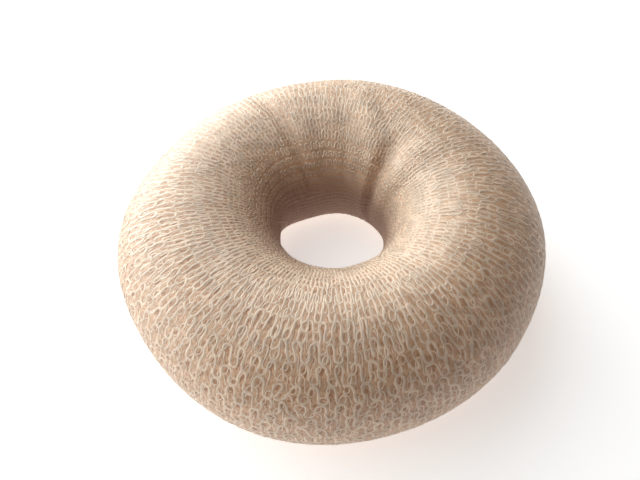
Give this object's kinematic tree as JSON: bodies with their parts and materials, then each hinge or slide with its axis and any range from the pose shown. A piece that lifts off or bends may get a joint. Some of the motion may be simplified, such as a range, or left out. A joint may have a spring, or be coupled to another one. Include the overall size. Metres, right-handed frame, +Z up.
{
  "type": "hair donut bun maker",
  "caption": "Soft round hair donut of knitted nylon net, rolled into a thick ring that a ponytail goes through and is wrapped round to make a bun.",
  "frame": {"origin": "centre of the ring on the surface that it lies on", "axes": "+Z up through the hole, -Y towards the front of the ring as pictured, +X to the right of it"},
  "size_m": [0.0918, 0.09, 0.0308],
  "materials": {
    "inner_net": "wound nylon net, matte",
    "outer_net": "knitted nylon net, soft sheen"
  },
  "bodies": {
    "root": {"wound_core": "inner_net", "net_sleeve": "outer_net"}
  },
  "joints": []
}
